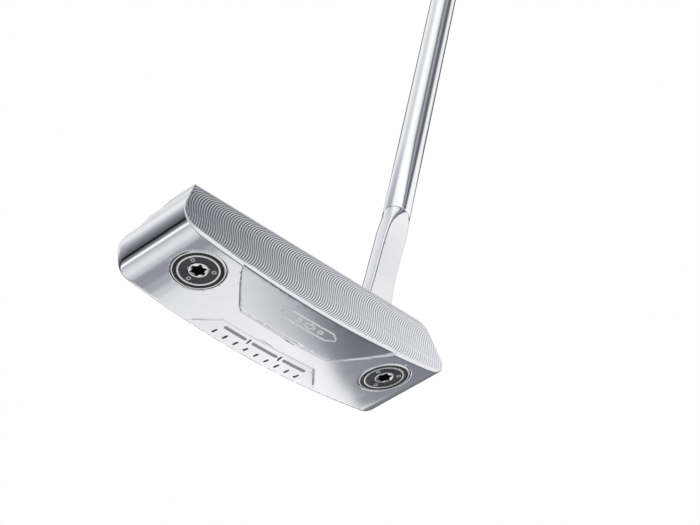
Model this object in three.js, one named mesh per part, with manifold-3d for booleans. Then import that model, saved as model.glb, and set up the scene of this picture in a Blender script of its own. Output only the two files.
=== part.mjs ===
// Right-handed wide-blade golf putter with a milled head, a flow neck, a stepped steel shaft, a
// flat-fronted grip and two screw-in sole weights. Millimetres, +Z up, face towards -Y, toe at -X.
// The head stands on the flat land of its sole and the shaft leans towards the heel by the lie angle.
import * as THREE from "three";
import { mergeVertices } from "three/addons/utils/BufferGeometryUtils.js";
import Module from "manifold-3d";

const wasm = await Module();
wasm.setup();

// ---- driving dimensions -------------------------------------------------------------------
const DEG = Math.PI / 180;
const CLUB_LENGTH = 864; // ground to butt along the shaft axis: a 34 inch club
const LIE = 71; // shaft axis above the ground, in the X-Z plane
const LOFT = 3; // the face leans back by this
const HEAD_HEIGHT = 23.45; // ground to top line
const CAMBER_R = 335; // heel-to-toe radius of the sole
const LAND_Y = 19; // leading edge to the centre of the land that the head rests on
const SHAFT_X = 25.07, SHAFT_Y = 5; // where the shaft axis meets the ground, from mid-head and the leading edge
const SHAFT_TIP_R = 4.75, SHAFT_WALL = 0.5;
const SHAFT_START = 72.8; // shaft end above the ground, along the axis
const POST_R = 3.2, POST_END = 101; // tang of the neck inside the shaft
const BOND_INNER_R = 3.5, BOND_OUTER_R = 3.97; // adhesive sleeve between tang and shaft
const BUTT_R = 7.62; // 0.600 inch butt
const STEP_FIRST = 250, STEP_PITCH = 48, STEPS = 7; // swaged steps of the shaft
const GRIP_START = 594, CAP_LENGTH = 5;
const WEIGHT_X = 42.57, WEIGHT_Y = 12.34, WEIGHT_TILT = 7.36; // sole weights, square to the camber
const WEIGHT_R = 8.6, DISC_T = 3.4, STUD_R = 4.0, STUD_L = 5.6; // disc and M8 x 1 stud
const POCKET_R = 8.85, TAP_R = 4.3;
const SEGMENTS = 32; // round pieces of the weights
const CAVITY_X = 25.5, CAVITY_TOP_X = 27.2, CAVITY_FRONT = 7.3, FLANGE_Z = 6.4;

// ---- solids and booleans ------------------------------------------------------------------
function solid(geometry) {
  let g = geometry.index ? geometry.toNonIndexed() : geometry.clone();
  g.deleteAttribute("normal");
  g.deleteAttribute("uv");
  g = mergeVertices(g, 1e-4);
  const v = g.attributes.position.array, t = new Uint32Array(g.index.array);
  let volume = 0;
  for (let i = 0; i < t.length; i += 3) {
    const [a, b, c] = [t[i] * 3, t[i + 1] * 3, t[i + 2] * 3];
    volume += v[a] * (v[b + 1] * v[c + 2] - v[b + 2] * v[c + 1]) + v[a + 1] * (v[b + 2] * v[c] - v[b] * v[c + 2]) + v[a + 2] * (v[b] * v[c + 1] - v[b + 1] * v[c]);
  }
  if (volume < 0) for (let i = 0; i < t.length; i += 3) [t[i + 1], t[i + 2]] = [t[i + 2], t[i + 1]];
  return new wasm.Manifold(new wasm.Mesh({ numProp: 3, vertProperties: new Float32Array(v), triVerts: t }));
}
function geometryOf(manifold) {
  const m = manifold.getMesh(), n = m.numProp, p = new Float32Array(m.numVert * 3);
  for (let i = 0; i < m.numVert; i++) p.set(m.vertProperties.subarray(i * n, i * n + 3), i * 3);
  const g = new THREE.BufferGeometry();
  g.setAttribute("position", new THREE.BufferAttribute(p, 3));
  g.setIndex(new THREE.BufferAttribute(new Uint32Array(m.triVerts), 1));
  g.computeVertexNormals();
  return g;
}
const shapeOf = (points) => new THREE.Shape(points.map(([a, b]) => new THREE.Vector2(a, b)));
const extrude = (points, depth) => new THREE.ExtrudeGeometry(shapeOf(points), { depth, bevelEnabled: false, steps: 1 });
// an (x, z) outline run along +Y from y0 to y1
function alongY(points, y0, y1) {
  const g = extrude(points, y1 - y0);
  g.rotateX(Math.PI / 2);
  g.translate(0, y1, 0);
  return g;
}
// a (y, z) outline run along +X from x0 to x1
function alongX(points, x0, x1) {
  const g = extrude(points, x1 - x0);
  g.applyMatrix4(new THREE.Matrix4().makeBasis(new THREE.Vector3(0, 1, 0), new THREE.Vector3(0, 0, 1), new THREE.Vector3(1, 0, 0)));
  g.translate(x0, 0, 0);
  return g;
}
// an (x, y) outline run along +Z from z0 to z1
function alongZ(points, z0, z1) {
  const g = extrude(points, z1 - z0);
  g.translate(0, 0, z0);
  return g;
}
// a closed (radius, z) profile turned about Z
function turned(profile, segments) {
  const g = new THREE.LatheGeometry([...profile, profile[0]].map(([r, z]) => new THREE.Vector2(r, z)), segments);
  g.rotateX(Math.PI / 2);
  return g;
}
// a solid through a stack of rings with the same number of points
function loft(rings) {
  const n = rings[0].length, p = [], t = [];
  for (const ring of rings) for (const q of ring) p.push(...q);
  for (let k = 0; k + 1 < rings.length; k++)
    for (let i = 0; i < n; i++) {
      const a = k * n + i, b = k * n + ((i + 1) % n), c = a + n, d = b + n;
      t.push(a, b, d, a, d, c);
    }
  for (const [k, flip] of [[0, true], [rings.length - 1, false]]) {
    const c = p.length / 3, m = [0, 0, 0];
    for (const q of rings[k]) for (let j = 0; j < 3; j++) m[j] += q[j] / n;
    p.push(...m);
    for (let i = 0; i < n; i++) {
      const a = k * n + i, b = k * n + ((i + 1) % n);
      flip ? t.push(c, b, a) : t.push(c, a, b);
    }
  }
  const g = new THREE.BufferGeometry();
  g.setAttribute("position", new THREE.BufferAttribute(new Float32Array(p), 3));
  g.setIndex(t);
  return g;
}
const lerp = (table, t) => {
  for (let i = 0; i + 1 < table.length; i++)
    if (t <= table[i + 1][0]) {
      const f = Math.max(0, (t - table[i][0]) / (table[i + 1][0] - table[i][0]));
      return table[i][1] + f * (table[i + 1][1] - table[i][1]);
    }
  return table[table.length - 1][1];
};

// ---- head ---------------------------------------------------------------------------------
const camber = (x) => (Math.abs(x) <= 6 ? 0 : x ** 2 / (2 * CAMBER_R)); // flat for 6 mm either side of the middle
const sole = [-48, -42, -36, -30, -24, -18, -12, -6, 6, 12, 18, 24, 30, 36, 42, 48].map((x) => [x, camber(x)]);
const frontOutline = [
  [-54.0, 4.45], ...sole, [54.0, 4.45], [56.1, 5.2], [57.5, 6.1], [58.6, 7.2], [59.2, 8.6], [59.15, 10.2], [58.5, 12.0], [57.5, 14.2],
  [56.4, 16.7], [55.3, 19.1], [54.5, 20.7], [53.7, 21.9], [52.6, 22.8], [51.4, 23.3], [50.0, HEAD_HEIGHT],
  [-53.9, HEAD_HEIGHT], [-54.3, 23.1], [-55.4, 20.9], [-56.5, 18.6], [-57.7, 16.2], [-58.7, 14.0], [-59.35, 12.0], [-59.7, 10.3],
  [-59.7, 8.7], [-59.2, 7.4], [-58.2, 6.4], [-56.6, 5.5],
];
const lean = Math.tan(LOFT * DEG);
const sideOutline = [
  [-lean, -1], [32.0, -1], [32.0, 3.2], [30.5, 15.0], [30.0, 16.4], [29.0, 17.5], [27.4, 18.0], [22.4, 18.05], [21.75, 18.4], [20.7, 20.6], [20.1, 21.15],
  [19.3, 21.3], [14.4, 21.35], [13.7, 21.7], [12.5, 23.1], [11.8, HEAD_HEIGHT], [HEAD_HEIGHT * lean, HEAD_HEIGHT],
];
const corner = (cx, cy, r, a0, a1, n) => Array.from({ length: n + 1 }, (_, i) => {
  const a = (a0 + ((a1 - a0) * i) / n) * DEG;
  return [cx + r * Math.cos(a), cy + r * Math.sin(a)];
});
const planOutline = [[-60.5, -1], [60.5, -1], ...corner(55.3, 27.3, 5.2, 0, 90, 5), ...corner(-55.3, 27.3, 5.2, 90, 180, 5)];
let head = solid(alongY(frontOutline, -1, 33)).intersect(solid(alongX(sideOutline, -70, 70))).intersect(solid(alongZ(planOutline, -2, 30)));

// open cavity behind the face, over the flange
const cavityRing = (x, y, z, r) => [
  ...corner(-x + r, y + r, r, 180, 270, 4), ...corner(x - r, y + r, r, 270, 360, 4), [x + 0.6, 40], [-x - 0.6, 40],
].map(([a, b]) => [a, b, z]);
head = head.subtract(solid(loft([cavityRing(CAVITY_X, CAVITY_FRONT + 1.0, FLANGE_Z, 2.6), cavityRing(CAVITY_X + 0.4, CAVITY_FRONT + 0.25, FLANGE_Z + 1.2, 2.6), cavityRing(CAVITY_TOP_X, CAVITY_FRONT, 30, 2.6)])));
// sight line cut in the flange, and nine slanted slots cut in the sole near its back edge
const SIGHT_FROM = 12.5, SIGHT_TO = 28.5, SIGHT_W = 1.6, SIGHT_DEPTH = 0.9;
const bar = (x, y, w, l, angle = 0) => [[-w / 2, -l / 2], [w / 2, -l / 2], [w / 2, l / 2], [-w / 2, l / 2]].map(([a, b]) => {
  const c = Math.cos(angle * DEG), s = Math.sin(angle * DEG);
  return [x + a * c - b * s, y + a * s + b * c];
});
const sightMid = (SIGHT_FROM + SIGHT_TO) / 2, sightLength = SIGHT_TO - SIGHT_FROM;
head = head.subtract(solid(alongZ(bar(0, sightMid, SIGHT_W, sightLength), FLANGE_Z - SIGHT_DEPTH, 10)));
const SLOT_Y = 29.0, SLOT_PITCH = 4.65, SLOT_X = -0.5, SLOT_W = 1.0, SLOT_L = 2.2, SLOT_ANGLE = 10, SLOT_DEPTH = 0.75;
const slots = Array.from({ length: 9 }, (_, i) => SLOT_X + (i - 4) * SLOT_PITCH);
const REAR_PANEL_Z = 0.2; // depth of the rear relief panel, the surface that the slots start from
for (const x of slots) head = head.subtract(solid(alongZ(bar(x, SLOT_Y, SLOT_W, SLOT_L, SLOT_ANGLE), -2, REAR_PANEL_Z + SLOT_DEPTH)));
// shallow relief panels in the sole, either side of the land that the head rests on
head = head.subtract(solid(loft([
  [[-37.2, -0.6, -2], [37.2, -0.6, -2], [20.4, 16.3, -2], [-20.4, 16.3, -2]],
  [[-37.2, -0.6, 0.62], [37.2, -0.6, 0.62], [20.4, 16.3, 0.2], [-20.4, 16.3, 0.2]],
])));
head = head.subtract(solid(alongZ([[-30.2, 33], [-20.4, 22.6], [20.4, 22.6], [30.2, 33]], -2, REAR_PANEL_Z)));

// weight pockets: a counterbore with a tapped blind hole, square to the camber
const weightPlace = (side) => {
  const m = new THREE.Matrix4().makeRotationY((180 - side * WEIGHT_TILT) * DEG);
  m.setPosition(side * WEIGHT_X, WEIGHT_Y, WEIGHT_X ** 2 / (2 * CAMBER_R) - 0.02);
  return m;
};
const pocket = turned([[0, -DISC_T - STUD_L - 1.0], [TAP_R - 0.8, -DISC_T - STUD_L - 1.0], [TAP_R, -DISC_T - STUD_L - 0.4], [TAP_R, -DISC_T - 0.65], [POCKET_R, -DISC_T - 0.65], [POCKET_R, -0.25], [POCKET_R + 1.25, 1.0], [POCKET_R + 1.25, 3], [0, 3]], SEGMENTS);
for (const side of [-1, 1]) head = head.subtract(solid(pocket.clone().applyMatrix4(weightPlace(side))));

// flow neck: a D-shaped stem that sweeps back into the heel, with a collar and the tang for the shaft
const flat = [[20, 5.1], [27.4, 4.6], [32, 4.2], [38.2, 3.85], [46.4, 3.5], [52.8, 3.15], [58.5, 2.75], [62.5, 2.3], [65.7, 1.75], [69.9, 0.95], [72.0, 0.2], [80, 0.2]];
const sweep = [[20, 1.7], [30, 1.35], [40, 0.9], [50, 0.45], [60, 0.1], [66, 0], [80, 0]];
const flare = [[20, 1.6], [25, 1.3], [29, 0.8], [34, 0.3], [39, 0], [80, 0]];
const axis = new THREE.Vector3(Math.cos(LIE * DEG), 0, Math.sin(LIE * DEG)), across = new THREE.Vector3(Math.sin(LIE * DEG), 0, -Math.cos(LIE * DEG));
const neckRing = (t, r) => Array.from({ length: 24 }, (_, i) => {
  const a = (i * 15 * Math.PI) / 180;
  let u = r * Math.cos(a), v = SHAFT_Y + lerp(sweep, t) + r * Math.sin(a);
  const f = lerp(flat, t);
  if (r > POST_R) {
    if (v < f) v = f;
    if (u > 0) u *= 1 + lerp(flare, t) / r;
  }
  return [SHAFT_X + axis.x * t + across.x * u, v, axis.z * t + across.z * u];
});
const neckRings = [20, 25, 29, 34, 39, 46.4, 52.8, 58.5, 62.5, 65.7, 69.9, 72.5].map((t) => neckRing(t, SHAFT_TIP_R));
head = head.add(solid(loft([...neckRings, neckRing(72.5, POST_R), neckRing(POST_END - 1, POST_R), neckRing(POST_END, POST_R - 0.8)])));

// ---- materials ----------------------------------------------------------------------------
const satinSteel = new THREE.MeshStandardMaterial({ color: 0xb9bcc4, roughness: 0.32, metalness: 1 });
const chrome = new THREE.MeshStandardMaterial({ color: 0xd6d8dc, roughness: 0.08, metalness: 1 });
const bright = new THREE.MeshStandardMaterial({ color: 0xcfcfcd, roughness: 0.22, metalness: 1 });
const black = new THREE.MeshStandardMaterial({ color: 0x141416, roughness: 0.35, metalness: 0.6 });
const charcoal = new THREE.MeshStandardMaterial({ color: 0x3a3a3f, roughness: 0.5, metalness: 0.5 });
const rubber = new THREE.MeshStandardMaterial({ color: 0x1b1b1d, roughness: 0.85, metalness: 0 });
const plastic = new THREE.MeshStandardMaterial({ color: 0x242427, roughness: 0.5, metalness: 0 });
const nylon = new THREE.MeshStandardMaterial({ color: 0x0f0f10, roughness: 0.7, metalness: 0 });
const epoxy = new THREE.MeshStandardMaterial({ color: 0x8f8b7c, roughness: 0.4, metalness: 0 });
const enamel = new THREE.MeshStandardMaterial({ color: 0x1c1c20, roughness: 0.4, metalness: 0 });
const tape = new THREE.MeshStandardMaterial({ color: 0xc9b98f, roughness: 0.8, metalness: 0 });

const putter = new THREE.Group();
const club = new THREE.Group();
club.position.set(0, -LAND_Y, 0);
putter.add(club);
function piece(name, geometry, material, parent) {
  const mesh = new THREE.Mesh(geometry, material);
  mesh.name = name;
  parent.add(mesh);
  return mesh;
}
piece("putter_head", geometryOf(head), satinSteel, club);

// enamel in the sight line and in the sole slots, a little below the metal around it
piece("sight_line_fill", geometryOf(solid(alongZ(bar(0, sightMid, SIGHT_W - 0.5, sightLength - 0.5), FLANGE_Z - SIGHT_DEPTH + 0.25, FLANGE_Z - 0.1))), enamel, club);
slots.forEach((x, i) => piece(`sole_slot_fill_${i + 1}`, geometryOf(solid(alongZ(bar(x, SLOT_Y, SLOT_W - 0.4, SLOT_L - 0.4, SLOT_ANGLE), REAR_PANEL_Z + 0.12, REAR_PANEL_Z + SLOT_DEPTH - 0.2))), enamel, club));

// ---- shaft, grip tape, grip and cap, on the shaft axis -------------------------------------
const shaftLine = new THREE.Group();
shaftLine.position.set(SHAFT_X, SHAFT_Y, 0);
shaftLine.rotation.y = (90 - LIE) * DEG;
club.add(shaftLine);

const stepR = (BUTT_R - SHAFT_TIP_R) / STEPS, shaftEnd = CLUB_LENGTH - CAP_LENGTH - 1.2;
const outer = [[SHAFT_TIP_R - 0.12, SHAFT_START], [SHAFT_TIP_R, SHAFT_START + 0.15]];
for (let i = 0; i < STEPS; i++) {
  const z = STEP_FIRST + i * STEP_PITCH;
  outer.push([SHAFT_TIP_R + i * stepR, z], [SHAFT_TIP_R + (i + 1) * stepR, z + 1.6]);
}
outer.push([BUTT_R, shaftEnd]);
const inner = [[BUTT_R - SHAFT_WALL, shaftEnd]];
for (let i = STEPS - 1; i >= 0; i--) {
  const z = STEP_FIRST + i * STEP_PITCH;
  inner.push([SHAFT_TIP_R + (i + 1) * stepR - SHAFT_WALL, z + 1.6], [SHAFT_TIP_R + i * stepR - SHAFT_WALL, z]);
}
inner.push([SHAFT_TIP_R - SHAFT_WALL, SHAFT_START]);
piece("shaft", geometryOf(solid(turned([...outer, ...inner], 24))), chrome, shaftLine);

// adhesive sleeve between the tang of the neck and the shaft
piece("shaft_bond", geometryOf(solid(turned([[BOND_INNER_R, SHAFT_START + 0.4], [BOND_OUTER_R, SHAFT_START + 0.4], [BOND_OUTER_R, POST_END - 1], [BOND_INNER_R, POST_END - 1]], 20))), epoxy, shaftLine);

// two-sided tape between butt and grip
piece("grip_tape", geometryOf(solid(turned([[BUTT_R + 0.12, GRIP_START + 14], [BUTT_R + 0.42, GRIP_START + 14], [BUTT_R + 0.42, shaftEnd - 4], [BUTT_R + 0.12, shaftEnd - 4]], 24))), tape, shaftLine);

// grip: round back, flat front for the thumbs, pistol swell under the cap; the flat looks up and
// towards the toe, square to the face line, and the swell is on the side nearest the player
const GRIP_BORE = BUTT_R + 0.55, gripEnd = CLUB_LENGTH - CAP_LENGTH - 0.3;
const half = [[GRIP_START, 9.4], [GRIP_START + 5, 9.9], [GRIP_START + 90, 10.6], [GRIP_START + 180, 11.2], [GRIP_START + 230, 11.7], [CLUB_LENGTH, 12.2]];
const back = [[GRIP_START, 9.4], [GRIP_START + 5, 9.9], [GRIP_START + 70, 10.8], [GRIP_START + 130, 11.6], [GRIP_START + 180, 13.2], [GRIP_START + 215, 16.0], [GRIP_START + 240, 17.3], [CLUB_LENGTH, 16.8]];
const front = [[GRIP_START, 9.2], [GRIP_START + 5, 9.6], [GRIP_START + 40, 9.8], [CLUB_LENGTH, 9.8]];
const gripRing = (t, inset = 0) => Array.from({ length: 32 }, (_, i) => {
  const a = (i * 11.25 * Math.PI) / 180, w = lerp(half, t) - inset, b = lerp(back, t) - inset, f = lerp(front, t) - inset;
  const x = Math.max((Math.cos(a) > 0 ? b : 1.15 * w) * Math.cos(a), -f);
  return [x, w * Math.sin(a), t];
});
const gripStations = [GRIP_START, GRIP_START + 1.5, GRIP_START + 5, GRIP_START + 40, GRIP_START + 90, GRIP_START + 130, GRIP_START + 155, GRIP_START + 180, GRIP_START + 198, GRIP_START + 215, GRIP_START + 230, GRIP_START + 245, gripEnd];
let grip = solid(loft(gripStations.map((t, i) => gripRing(t, i === 0 ? 0.5 : 0))));
grip = grip.subtract(solid(turned([[0, GRIP_START - 5], [GRIP_BORE, GRIP_START - 5], [GRIP_BORE, gripEnd + 5], [0, gripEnd + 5]], 24)));
piece("grip", geometryOf(grip), rubber, shaftLine);

// moulded cap with a spigot in the butt of the shaft and the vent hole used in fitting the grip
const capRing = (t, inset) => gripRing(CLUB_LENGTH - CAP_LENGTH, inset).map(([x, y]) => [x, y, t]);
let cap = solid(loft([capRing(CLUB_LENGTH - CAP_LENGTH, 0), capRing(CLUB_LENGTH - 2.2, 0.1), capRing(CLUB_LENGTH - 0.9, 0.7), capRing(CLUB_LENGTH, 2.2)]));
cap = cap.add(solid(turned([[0, shaftEnd - 8], [BUTT_R - SHAFT_WALL - 0.9, shaftEnd - 8], [BUTT_R - SHAFT_WALL - 0.35, shaftEnd - 7.4], [BUTT_R - SHAFT_WALL - 0.35, CLUB_LENGTH - 3], [0, CLUB_LENGTH - 3]], 24)));
cap = cap.subtract(solid(turned([[0, shaftEnd - 20], [1.1, shaftEnd - 20], [1.1, CLUB_LENGTH + 5], [0, CLUB_LENGTH + 5]], 16)));
piece("grip_cap", geometryOf(cap), plastic, shaftLine);

// ---- screw-in sole weights ----------------------------------------------------------------
const star = Array.from({ length: 48 }, (_, i) => {
  const a = (i * 7.5 * Math.PI) / 180, r = 2.17 + 0.34 * Math.cos(6 * a);
  return [r * Math.cos(a), r * Math.sin(a)];
});
let core = solid(turned([
  [0, -DISC_T - STUD_L], [STUD_R - 0.6, -DISC_T - STUD_L], [STUD_R, -DISC_T - STUD_L + 0.6], [STUD_R, -DISC_T], [WEIGHT_R - 0.25, -DISC_T], [WEIGHT_R, -DISC_T + 0.25],
  [WEIGHT_R, -0.3], [WEIGHT_R - 0.3, 0], [7.9, 0], [7.9, -0.8], [6.75, -0.8], [6.75, 0], [6.07, 0], [6.07, -0.8], [3.2, -0.8], [3.2, -0.15], [3.05, 0], [0, 0],
], SEGMENTS)).subtract(solid(alongZ(star, -3.1, 1)));
const outerRing = turned([[6.8, -0.75], [7.85, -0.75], [7.85, -0.12], [6.8, -0.12]], SEGMENTS);
const innerRing = turned([[3.46, -0.75], [6.02, -0.75], [6.02, -0.12], [3.46, -0.12]], SEGMENTS);
const washer = turned([[4.5, -DISC_T - 0.55], [8.1, -DISC_T - 0.55], [8.1, -DISC_T - 0.06], [4.5, -DISC_T - 0.06]], SEGMENTS);
for (const [side, name] of [[-1, "toe"], [1, "heel"]]) {
  const g = new THREE.Group();
  weightPlace(side).decompose(g.position, g.quaternion, g.scale);
  club.add(g);
  piece(`${name}_weight_screw`, geometryOf(core), bright, g);
  piece(`${name}_weight_outer_inlay`, geometryOf(solid(outerRing)), black, g);
  piece(`${name}_weight_inner_inlay`, geometryOf(solid(innerRing)), charcoal, g);
  piece(`${name}_weight_washer`, geometryOf(solid(washer)), nylon, g);
}

export default putter;
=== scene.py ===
# Golf putter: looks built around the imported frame. Lengths are worked out in millimetres in the
# club's own layout (y = 0 at the leading edge) and moved to the frame, in metres, by M().
import bpy, bmesh, math
import numpy as np
import openvdb
from mathutils import Vector, Matrix


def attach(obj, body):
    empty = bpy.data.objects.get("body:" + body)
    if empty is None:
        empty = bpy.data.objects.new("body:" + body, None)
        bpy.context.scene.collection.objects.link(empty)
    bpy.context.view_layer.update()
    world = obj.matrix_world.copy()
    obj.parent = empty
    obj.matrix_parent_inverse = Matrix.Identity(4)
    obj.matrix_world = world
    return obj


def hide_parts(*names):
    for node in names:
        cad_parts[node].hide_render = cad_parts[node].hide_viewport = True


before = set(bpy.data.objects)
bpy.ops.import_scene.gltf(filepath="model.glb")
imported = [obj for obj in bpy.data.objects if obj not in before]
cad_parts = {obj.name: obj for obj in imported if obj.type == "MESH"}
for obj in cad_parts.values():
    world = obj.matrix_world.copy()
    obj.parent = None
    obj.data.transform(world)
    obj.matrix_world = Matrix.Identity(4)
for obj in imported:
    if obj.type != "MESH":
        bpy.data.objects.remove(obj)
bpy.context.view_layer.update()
ROOT = "head_shaft_grip"
LAND_Y = 19.0
rng = np.random.default_rng(7)


def M(p):
    p = np.asarray(p, float)
    return (p - np.array([0, LAND_Y, 0])) / 1000.0


# ------------------------------------------------------------------------------------------
# camera
# ------------------------------------------------------------------------------------------
cam_data = bpy.data.cameras.new("camera")
cam = bpy.data.objects.new("camera", cam_data)
bpy.context.scene.collection.objects.link(cam)
right = Vector((0.66648570, -0.74184579, -0.07390291))
down = Vector((0.41201992, 0.44914270, -0.79278650))
fwd = Vector((0.62131828, 0.49793139, 0.60500242))
m = Matrix((( right[0], -down[0], -fwd[0], 0), (right[1], -down[1], -fwd[1], 0), (right[2], -down[2], -fwd[2], 0), (0, 0, 0, 1)))
c = M([-419.4725, -348.1938, -394.3313])
cam.matrix_world = Matrix.Translation(Vector(c)) @ m
cam_data.sensor_fit = "HORIZONTAL"
cam_data.sensor_width = 36.0
cam_data.lens = 2174.322 / 700.0 * 36.0
cam_data.clip_start = 0.01
cam_data.clip_end = 50.0
bpy.context.scene.camera = cam

# ------------------------------------------------------------------------------------------
# helpers
# ------------------------------------------------------------------------------------------
DEG = math.pi / 180


def new_mesh(name, verts, faces, smooth=True):
    me = bpy.data.meshes.new(name)
    me.from_pydata([tuple(v) for v in np.asarray(verts, float)], [], [tuple(int(i) for i in f) for f in faces])
    me.validate(verbose=False)
    me.update()
    ob = bpy.data.objects.new(name, me)
    bpy.context.scene.collection.objects.link(ob)
    if smooth:
        me.polygons.foreach_set("use_smooth", np.ones(len(me.polygons), bool))
    return ob


def mesh_arrays(name, verts, quads, tris=None):
    """Fast mesh from arrays of quads and triangles."""
    me = bpy.data.meshes.new(name)
    q = np.asarray(quads, np.int32).reshape(-1, 4)
    t = np.zeros((0, 3), np.int32) if tris is None else np.asarray(tris, np.int32).reshape(-1, 3)
    me.vertices.add(len(verts))
    me.vertices.foreach_set("co", np.asarray(verts, np.float32).ravel())
    me.loops.add(q.size + t.size)
    me.loops.foreach_set("vertex_index", np.concatenate([q.ravel(), t.ravel()]).astype(np.int32))
    me.polygons.add(len(q) + len(t))
    starts = np.concatenate([np.arange(len(q)) * 4, q.size + np.arange(len(t)) * 3]).astype(np.int32)
    me.polygons.foreach_set("loop_start", starts)
    me.polygons.foreach_set("use_smooth", np.ones(len(q) + len(t), bool))
    me.update(calc_edges=True)
    me.validate(verbose=False)
    ob = bpy.data.objects.new(name, me)
    bpy.context.scene.collection.objects.link(ob)
    return ob


def auto_smooth(ob, angle=35):
    """Sharp edges by angle, so that flat and round faces both shade cleanly."""
    me = ob.data
    bm = bmesh.new()
    bm.from_mesh(me)
    for f in bm.faces:
        f.smooth = True
    for e in bm.edges:
        e.smooth = not (len(e.link_faces) == 2 and e.calc_face_angle(0) > angle * DEG)
    bm.to_mesh(me)
    bm.free()
    return ob


def smoothstep(a, b, x):
    t = np.clip((x - a) / (b - a), 0, 1)
    return t * t * (3 - 2 * t)


def table(points, t):
    p = np.array(points, float)
    return np.interp(t, p[:, 0], p[:, 1])


def spline(points, n=8):
    """Open Catmull-Rom curve through the points."""
    p = np.array(points, float)
    e = np.vstack([2 * p[0] - p[1], p, 2 * p[-1] - p[-2]])
    out = []
    for i in range(len(p) - 1):
        p0, p1, p2, p3 = e[i:i + 4]
        for k in range(n):
            t = k / n
            out.append(0.5 * ((2 * p1) + (-p0 + p2) * t + (2 * p0 - 5 * p1 + 4 * p2 - p3) * t * t + (-p0 + 3 * p1 - 3 * p2 + p3) * t ** 3))
    out.append(p[-1])
    return np.array(out)


def poly_sdf(px, py, pts):
    """Signed distance to a closed polygon, negative inside. px and py broadcast."""
    px, py = np.broadcast_arrays(px, py)
    d = np.full(px.shape, 1e9, np.float32)
    s = np.ones(px.shape, np.float32)
    n = len(pts)
    for i in range(n):
        ax, ay = pts[i]
        bx, by = pts[i - 1]
        ex, ey = bx - ax, by - ay
        wx, wy = px - ax, py - ay
        h = np.clip((wx * ex + wy * ey) / (ex * ex + ey * ey + 1e-12), 0, 1)
        dx, dy = wx - ex * h, wy - ey * h
        d = np.minimum(d, dx * dx + dy * dy)
        c1, c2, c3 = py >= ay, py < by, ex * wy > ey * wx
        flip = (c1 & c2 & c3) | (~c1 & ~c2 & ~c3)
        s = np.where(flip, -s, s)
    return s * np.sqrt(d)


class Field:
    """A 2-D signed distance kept on a fine grid, so that it is quick to read anywhere."""

    def __init__(self, pts, lo, hi, step=0.1):
        self.lo, self.step = lo, step
        self.n = [int(math.ceil((hi[i] - lo[i]) / step)) + 1 for i in range(2)]
        a = (lo[0] + step * np.arange(self.n[0], dtype=np.float32))[:, None]
        b = (lo[1] + step * np.arange(self.n[1], dtype=np.float32))[None, :]
        self.v = poly_sdf(a, b, pts).astype(np.float32)

    def __call__(self, a, b):
        a, b = np.broadcast_arrays(a, b)
        u = np.clip((a - self.lo[0]) / self.step, 0, self.n[0] - 1.001)
        w = np.clip((b - self.lo[1]) / self.step, 0, self.n[1] - 1.001)
        i, j = u.astype(np.int32), w.astype(np.int32)
        fu, fw = (u - i).astype(np.float32), (w - j).astype(np.float32)
        v = self.v
        return (v[i, j] * (1 - fu) + v[i + 1, j] * fu) * (1 - fw) + (v[i, j + 1] * (1 - fu) + v[i + 1, j + 1] * fu) * fw


def cut_round(a, b, r):
    """Intersection with an edge of radius r (r may be an array)."""
    u, v = np.maximum(a + r, 0), np.maximum(b + r, 0)
    return np.minimum(-r, np.maximum(a, b)) + np.sqrt(u * u + v * v)


def join_round(a, b, r):
    u, v = np.maximum(r - a, 0), np.maximum(r - b, 0)
    return np.maximum(r, np.minimum(a, b)) - np.sqrt(u * u + v * v)


# ------------------------------------------------------------------------------------------
# the head as one smooth solid: outlines intersected, cavity, pockets and relief cut, neck joined
# ------------------------------------------------------------------------------------------
CAMBER_R, TOP, LOFT = 335.0, 23.45, math.tan(3 * DEG)
A = np.array([math.cos(71 * DEG), 0, math.sin(71 * DEG)])      # shaft axis
ACR = np.array([math.sin(71 * DEG), 0, -math.cos(71 * DEG)])   # across it, towards the heel
SX, SY = 25.07, 5.0

camber = lambda x: x * x / (2 * CAMBER_R)
sole_line = [(x, camber(x)) for x in np.arange(-51, 51.1, 3.0)]
toe_side = spline([(-51, camber(-51)), (-53.6, 4.35), (-55.6, 5.0), (-57.3, 6.0), (-58.7, 7.3), (-59.45, 8.7), (-59.65, 10.2), (-59.35, 12.0), (-58.7, 14.0), (-57.7, 16.2), (-56.5, 18.6), (-55.4, 20.9), (-54.1, TOP)], 6)
heel_side = spline([(51, camber(51)), (53.6, 4.35), (55.6, 4.95), (57.2, 5.85), (58.5, 7.1), (59.1, 8.6), (59.1, 10.2), (58.5, 12.0), (57.5, 14.2), (56.4, 16.7), (55.3, 19.1), (54.5, 20.7), (53.5, 22.0), (52.2, 22.95), (50.6, 23.4), (49.5, TOP)], 6)
front_outline = list(toe_side[::-1])[:-1] + sole_line + list(heel_side)[1:]
F2 = Field(np.array(front_outline), (-62.5, -2.0), (62.5, 26.0))
back = spline([(12.0, TOP), (12.6, 23.1), (13.4, 22.2), (14.1, 21.55), (15.0, 21.32), (19.2, 21.28), (20.2, 20.95), (20.95, 20.0), (21.6, 18.9), (22.4, 18.25), (23.4, 18.05), (26.6, 17.98), (28.4, 17.65), (29.6, 16.6), (30.3, 15.2), (31.0, 11.0), (31.6, 7.0), (32.0, 4.5)], 6)
side_outline = [(-2 * LOFT, -2.0), (TOP * LOFT, TOP)] + [(2.0, TOP), (6.0, TOP)] + list(back) + [(32.0, -2.0)]
S2 = Field(np.array(side_outline), (-3.0, -3.0), (36.0, 26.0))
ang = lambda a0, a1, n: np.linspace(a0 * DEG, a1 * DEG, n)
plan = [(-61.5, -3.0), (61.5, -3.0), (61.5, 20.0)] + [(59.9 - 5.2 + 5.2 * math.cos(a), 26.9 + 5.2 * math.sin(a)) for a in ang(0, 90, 16)] + [(-59.9 + 5.2 + 5.2 * math.cos(a), 26.9 + 5.2 * math.sin(a)) for a in ang(90, 180, 16)] + [(-61.5, 20.0)]
P2 = Field(np.array(plan), (-63.0, -3.0), (63.0, 36.0))

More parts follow.
